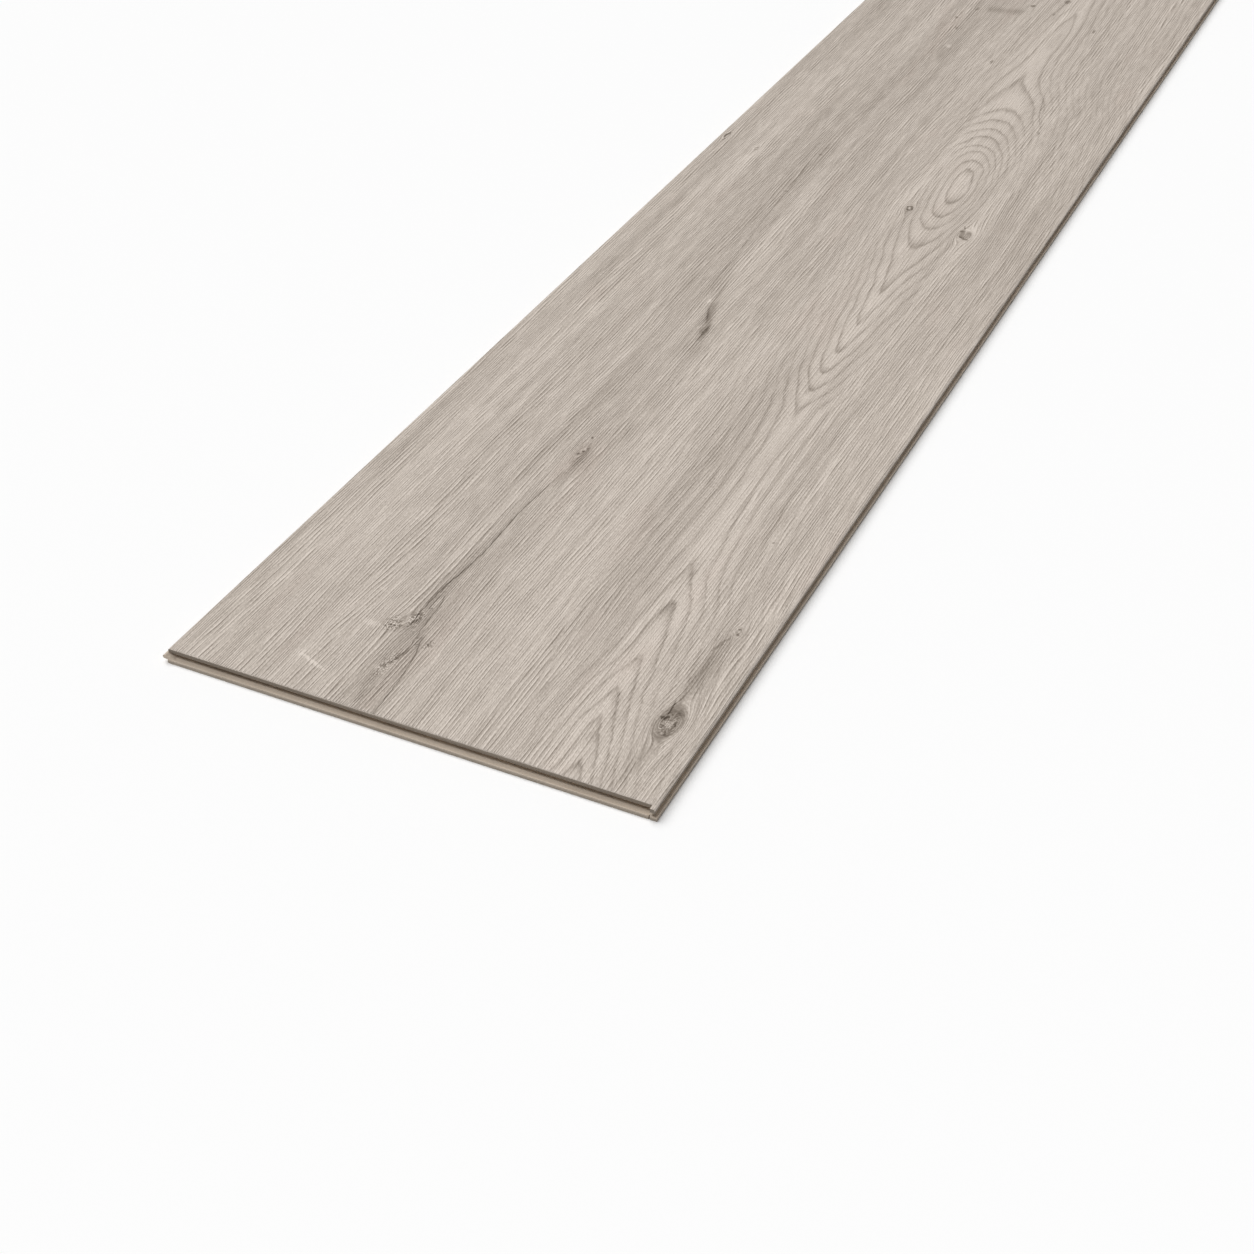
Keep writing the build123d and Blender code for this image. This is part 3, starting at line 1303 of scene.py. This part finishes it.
@dataclass(frozen=True)
class CoreFinish:
    """Beige mineral core where the click edges are milled, its film partly painted shade, and dimmed towards
    the bottom by painted shade.
    """

    # The core's colour, and how many screen steps it varies either way
    body: Paint = Paint(199, 185, 169)
    darker: float = 22.0
    paler: float = 14.0
    # Grain sizes of its grit and its clouds, in millimetres, and the marks of the cutter
    grit: float = 0.35
    cloud: float = 9.0
    cutter: Streaks = Streaks(60.0, 0.22, 31.0)
    # The grey film over the core and its thickness in millimetres, thick enough that it also darkens the
    # whole upper lip as painted shade
    film: Paint = Paint(134, 123, 111)
    film_and_shade_thickness: float = 1.45
    # Painted shade that dims the core towards the bottom, and the height it reaches in millimetres
    painted_shade_tint: Paint = Paint(219, 219, 219)
    painted_shade_height: float = 1.05
    # How far the grit frays the edges of the film and of the painted shade, and half an edge's breadth, in
    # millimetres
    seam_fray: float = 0.2
    half_seam: float = 0.06
    roughness: float = 0.62
    relief: float = 0.05 * MM

    def material(self, effects: Effects, top: float) -> bpy.types.Material:
        """Make the milled core's material.

        Args:
            effects: Shared node groups.
            top: Height of the decor face.

        Returns:
            The material.
        """
        wiring = Surface("milled_core")
        x, y, z = wiring.split(wiring.node("TexCoord").outputs["Object"])
        run = wiring.product(wiring.math("ADD", x, y), 1 / MM)
        level = wiring.product(z, 1 / MM)
        grit = effects.grit(wiring, self.grit)
        cloud = effects.grit(wiring, self.cloud)
        cutter = effects.streaks(wiring, wiring.join(run, level, 0.0), self.cutter)
        tone = wiring.total((1.0, 0.5), (grit, 0.5), (cloud, 0.3), (cutter, 0.7))
        colour = wiring.ramp(tone, self.body.mottled(self.darker, self.paler))
        ragged = wiring.math("MULTIPLY_ADD", grit, self.seam_fray, level)
        # Painted shade: the core is dimmed below that height
        painted_shade = wiring.rise(ragged, self.painted_shade_height + self.half_seam, self.painted_shade_height - self.half_seam)
        colour = wiring.mix(painted_shade, colour, self.painted_shade_tint.linear(), "MULTIPLY")
        # The film band: a real film, which also paints shade over the upper lip
        seam = top / MM - self.film_and_shade_thickness
        film = wiring.rise(ragged, seam - self.half_seam, seam + self.half_seam)
        colour = wiring.mix(film, colour, self.film.linear())
        roughness = wiring.total((1.0, self.roughness), (grit, 0.2))
        height = wiring.total((cutter, 1.0), (grit, 0.6))
        return wiring.coat(colour, roughness, height, self.relief)


@dataclass(frozen=True)
class BackingFinish:
    """Plain calendered underside with a faint roller weave."""

    # Its colour, and how many screen steps it varies either way
    body: Paint = Paint(168, 160, 150)
    darker: float = 16.0
    paler: float = 12.0
    # Pitch of its weave and grain sizes of its grit and its clouds, in millimetres
    weave: float = 1.6
    grit: float = 0.6
    cloud: float = 40.0
    roughness: float = 0.68
    relief: float = 0.05 * MM

    def material(self, effects: Effects) -> bpy.types.Material:
        """Make the underside's material.

        Args:
            effects: Shared node groups.

        Returns:
            The material.
        """
        wiring = Surface("backing")
        x, y, _ = wiring.split(wiring.node("TexCoord").outputs["Object"])
        turn = 2 * math.pi / (self.weave * MM)
        weave = wiring.product(
            *(
                wiring.math("SINE", wiring.product(wiring.math(operation, x, y), turn))
                for operation in ("ADD", "SUBTRACT")
            )
        )
        grit = effects.grit(wiring, self.grit)
        cloud = effects.grit(wiring, self.cloud)
        tone = wiring.total((1.0, 0.5), (grit, 0.5), (cloud, 0.6), (weave, 0.06))
        colour = wiring.ramp(tone, self.body.mottled(self.darker, self.paler))
        roughness = wiring.total((1.0, self.roughness), (grit, 0.2))
        height = wiring.total((weave, 0.5), (grit, 0.5))
        return wiring.coat(colour, roughness, height, self.relief)


@dataclass
class Plank:
    """The whole plank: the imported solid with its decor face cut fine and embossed."""

    node: str = "plank"
    slot: str = "vinyl"
    # Pitches of the grid along the grain, near the front end and beyond the shown length, and across it
    near_pitch: float = 2.0 * MM
    far_pitch: float = 4.0 * MM
    across_pitch: float = 0.95 * MM
    shown_length: float = 0.76
    # The longest stretch that is left whole before a corner, in pitches
    last_pitch: float = 1.5
    # Breadth of the decor's rim without emboss, and where the emboss has its full depth
    rim: float = 0.5 * MM
    rim_fade: float = 3.0 * MM
    # How far below the decor face its bevels reach
    bevel_reach: float = 0.5 * MM
    # Least upright part of the normal on the flat decor and its bevels, and greatest on the underside
    flat_up: float = 0.999
    decor_up: float = 0.5
    backing_up: float = -0.9
    sharp_angle: float = math.radians(20)
    # Distances within which points lie on a level, are one point and lie on a cut
    level_slack: float = 1e-6
    weld_slack: float = 1e-7
    cut_slack: float = 1e-8
    figure: OakPrint = field(default_factory=OakPrint)

    def __post_init__(self) -> None:
        """Take the plank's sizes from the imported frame."""
        mounts = {mount["name"]: mount["pos_m"] for mount in frame["record"]["mounts"]}
        self.top = mounts["decor_face"][2]
        self.front = mounts["end_groove"][1]
        points = (vert.co for vert in frame["nodes"][self.node].data.vertices)
        flat = [place for place in points if self.on_top(place)]
        left = min(place.x for place in flat)
        self.width = max(place.x for place in flat) - left
        front = min(place.y for place in flat if place.x < left + self.level_slack)
        self.corner = Vector((left, front, self.top))

    def on_top(self, place: Vector) -> bool:
        """Whether a place lies on the level of the decor face."""
        return place.z > self.top - self.level_slack

    def build(self) -> bpy.types.Object:
        """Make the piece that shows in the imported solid's place.

        Returns:
            The finished mesh object, without its materials.
        """
        shape = bmesh.new()
        shape.from_mesh(frame["nodes"][self.node].data)
        bmesh.ops.remove_doubles(shape, verts=shape.verts, dist=self.weld_slack)
        face = self.decor_face(shape)
        self.cut_grid(shape, face)
        self.emboss(shape)
        self.sort_finishes(shape)
        mesh = bpy.data.meshes.new("oak_plank")
        shape.to_mesh(mesh)
        shape.free()
        self.print_marks(mesh)
        mesh.polygons.foreach_set("use_smooth", [True] * len(mesh.polygons))
        mesh.set_sharp_from_angle(angle=self.sharp_angle)
        piece = bpy.data.objects.new("oak_plank", mesh)
        bpy.context.scene.collection.objects.link(piece)
        return piece

    def decor_face(self, shape: bmesh.types.BMesh) -> bmesh.types.BMFace:
        """Join the flat decor's triangles into one face.

        Args:
            shape: The plank's mesh.

        Returns:
            The face.
        """
        level = [face for face in shape.faces if self.on_top(face.calc_center_median())]
        flat = [face for face in level if face.normal.z > self.flat_up]
        return bmesh.ops.dissolve_faces(shape, faces=flat)["region"][0]

    def cut_grid(self, shape: bmesh.types.BMesh, face: bmesh.types.BMFace) -> None:
        """Cut the decor face into a grid, through its own corners and evenly between them.

        Args:
            shape: The plank's mesh.
            face: The decor face in one piece.
        """
        corners = [vert.co.copy() for vert in face.verts]
        across = self.lines({corner.x for corner in corners}, lambda place: self.across_pitch)
        along = self.lines({corner.y for corner in corners}, self.along_pitch)
        rows = self.cut(shape, [face], 1, along)
        self.cut(shape, rows, 0, across)

    def along_pitch(self, place: float) -> float:
        """Pitch of the grid at a place along the plank."""
        return self.near_pitch if place < self.front + self.shown_length else self.far_pitch

    def lines(self, corners: set[float], pitch: Callable[[float], float]) -> list[float]:
        """Places to cut between the first and last corner.

        Args:
            corners: Places of the face's own corners.
            pitch: Gives the spacing wanted at a place.

        Returns:
            The places in order, without the two ends.
        """
        places: list[float] = []
        ordered = sorted(corners)
        for start, end in zip(ordered, ordered[1:]):
            place = start
            while end - place > self.last_pitch * pitch(place):
                places.append(place)
                place += pitch(place)
            places.append(place)
        return sorted(set(places))[1:]

    def cut(
        self, shape: bmesh.types.BMesh, faces: list[bmesh.types.BMFace], axis: int, places: list[float]
    ) -> list[bmesh.types.BMFace]:
        """Cut faces into strips, from the low end up.

        Args:
            shape: The plank's mesh.
            faces: The faces to cut.
            axis: 0 to cut at places across the plank, 1 along it.
            places: Where to cut, in order.

        Returns:
            All the strips.
        """
        strips: list[bmesh.types.BMFace] = []
        normal = Vector((axis == 0, axis == 1, 0))
        rest = faces
        for place in places:
            edges = {edge for face in rest for edge in face.edges}
            corners = {vert for face in rest for vert in face.verts}
            plane = {"plane_co": normal * place, "plane_no": normal, "dist": self.cut_slack}
            cut = bmesh.ops.bisect_plane(shape, geom=[*rest, *edges, *corners], **plane)
            found = [part for part in cut["geom"] if isinstance(part, bmesh.types.BMFace)]
            beyond = [face.calc_center_median()[axis] > place for face in found]
            strips += [face for face, after in zip(found, beyond) if not after]
            rest = [face for face, after in zip(found, beyond) if after]
        return strips + rest

    def places(self, points: np.ndarray) -> tuple[np.ndarray, np.ndarray]:
        """Measure places from the flat decor's front left corner.

        Args:
            points: Rows of places in the frame.

        Returns:
            The places along and across, in the print's units.
        """
        unit = self.width / self.figure.width
        return (points[:, 1] - self.corner.y) / unit, (points[:, 0] - self.corner.x) / unit

    def emboss(self, shape: bmesh.types.BMesh) -> None:
        """Press the grain's relief into the decor face, which keeps its rim.

        Args:
            shape: The plank's mesh.
        """
        flat = [vert for vert in shape.verts if self.on_top(vert.co)]
        points = np.array([vert.co for vert in flat])
        low, high = points.min(0), points.max(0)
        along, across = self.places(points)
        sides = [points[:, 0] - low[0], high[0] - points[:, 0]]
        ends = [points[:, 1] - self.front, -self.front - points[:, 1]]
        inward = np.minimum.reduce(sides + ends)
        depth = self.figure.relief(along, across) * smooth_step(inward, self.rim, self.rim_fade)
        for vert, sunk in zip(flat, depth):
            vert.co.z -= sunk * MM

    def sort_finishes(self, shape: bmesh.types.BMesh) -> None:
        """Give each face the finish of its layer.

        Args:
            shape: The plank's mesh.
        """
        middles = np.array([face.calc_center_median() for face in shape.faces])
        spotted = self.figure.spotted(*self.places(middles))
        for face, height, near in zip(shape.faces, middles[:, 2], spotted):
            finish = Finish.CORE
            if face.normal.z > self.decor_up and height > self.top - self.bevel_reach:
                finish = Finish.KNOTS if near else Finish.DECOR
            elif face.normal.z < self.backing_up and height < self.level_slack:
                finish = Finish.BACKING
            face.material_index = finish.value

    def print_marks(self, mesh: bpy.types.Mesh) -> None:
        """Store what the finishes read on the mesh's points.

        Args:
            mesh: The plank's mesh.
        """
        points = np.empty(len(mesh.vertices) * 3)
        mesh.vertices.foreach_get("co", points)
        for mark, rows in self.figure.marks(*self.places(points.reshape(-1, 3))).items():
            kind, field_name = ("FLOAT", "value") if rows.ndim == 1 else ("FLOAT_VECTOR", "vector")
            layer = mesh.attributes.new(mark.value, kind, "POINT")
            layer.data.foreach_set(field_name, rows.astype(np.float32).ravel())

    def dress(self, piece: bpy.types.Object, effects: Effects) -> None:
        """Give the piece its finishes and fix it to the frame.

        Args:
            piece: The plank's mesh object.
            effects: Shared node groups.
        """
        finishes = {
            Finish.DECOR: DecorFinish().material(effects, self.figure, False),
            Finish.KNOTS: DecorFinish().material(effects, self.figure, True),
            Finish.CORE: CoreFinish().material(effects, self.top),
            Finish.BACKING: BackingFinish().material(effects),
        }
        for finish in Finish:
            piece.data.materials.append(finishes[finish])
        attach(piece, "root")
        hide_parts(self.node)


@dataclass
class Studio:
    """Pale floor, soft light from above and the left, and the camera."""

    # The photograph's frame and focal length, in its pixels
    frame_px: float = 1254.0
    focal_px: float = 2008.8
    sensor: float = 36.0
    # The camera's place from the decor's front left corner, in plank widths, and the way it looks
    offset: tuple[float, float, float] = (2.043, -2.292, 2.302)
    azimuth: float = math.radians(25.60)
    pitch: float = math.radians(37.36)
    clip_start: float = 0.01
    clip_end: float = 50.0
    floor_size: float = 40.0
    floor_drop: float = 0.05 * MM
    floor_paint: Paint = Paint(254, 254, 254)
    floor_roughness: float = 0.9
    floor_gloss: float = 0.1
    sun_strength: float = 2.61
    sun_softness: float = math.radians(60)
    sun_from: tuple[float, float, float] = (-0.42, 0.08, 0.89)
    sky_strength: float = 0.24

    def build(self, plank: Plank) -> None:
        """Set the whole stage.

        Args:
            plank: The plank that the camera looks at.
        """
        bpy.context.scene.view_settings.view_transform = "Standard"
        self.floor()
        self.light()
        self.camera(plank)

    def floor(self) -> None:
        """Lay the floor just under the plank."""
        half = self.floor_size / 2
        mesh = bpy.data.meshes.new("floor")
        corners = [(-half, -half), (half, -half), (half, half), (-half, half)]
        mesh.from_pydata([(x, y, -self.floor_drop) for x, y in corners], [], [(0, 1, 2, 3)])
        paint = Surface("floor_paint")
        paint.shader.inputs["Base Color"].default_value = self.floor_paint.linear()
        paint.shader.inputs["Roughness"].default_value = self.floor_roughness
        paint.shader.inputs["Specular IOR Level"].default_value = self.floor_gloss
        mesh.materials.append(paint.material)
        piece = bpy.data.objects.new("floor", mesh)
        bpy.context.scene.collection.objects.link(piece)

    def light(self) -> None:
        """Hang one broad soft light and a dim even sky."""
        lamp = bpy.data.lights.new("soft_key", "SUN")
        lamp.energy = self.sun_strength
        lamp.angle = self.sun_softness
        piece = bpy.data.objects.new("soft_key", lamp)
        piece.rotation_euler = Vector(self.sun_from).to_track_quat("Z", "Y").to_euler()
        bpy.context.scene.collection.objects.link(piece)
        world = bpy.data.worlds.new("sky")
        world.use_nodes = True
        sky = world.node_tree.nodes["Background"]
        sky.inputs["Color"].default_value = (1.0, 1.0, 1.0, 1.0)
        sky.inputs["Strength"].default_value = self.sky_strength
        bpy.context.scene.world = world

    def camera(self, plank: Plank) -> None:
        """Stand the camera where the photograph was taken.

        Args:
            plank: The plank that the camera looks at.
        """
        lens = bpy.data.cameras.new("camera")
        lens.sensor_width = self.sensor
        lens.lens = self.focal_px / self.frame_px * self.sensor
        lens.clip_start = self.clip_start
        lens.clip_end = self.clip_end
        piece = bpy.data.objects.new("camera", lens)
        turn = Matrix.Rotation(self.azimuth, 4, "Z") @ Matrix.Rotation(math.pi / 2 - self.pitch, 4, "X")
        piece.matrix_world = Matrix.Translation(plank.corner + Vector(self.offset) * plank.width) @ turn
        bpy.context.scene.collection.objects.link(piece)
        bpy.context.scene.camera = piece


def main() -> None:
    """Build the plank and its stage."""
    effects = Effects(fibre_group(), scored_group(), speckle_group(), spot_group())
    plank = Plank()
    piece = plank.build()
    plank.dress(piece, effects)
    triangles = sum(len(face.vertices) - 2 for face in piece.data.polygons)
    log.info("%s: %d faces, %d triangles", piece.name, len(piece.data.polygons), triangles)
    Studio().build(plank)
    log.info("stage set")


if __name__ == "__main__":
    main()
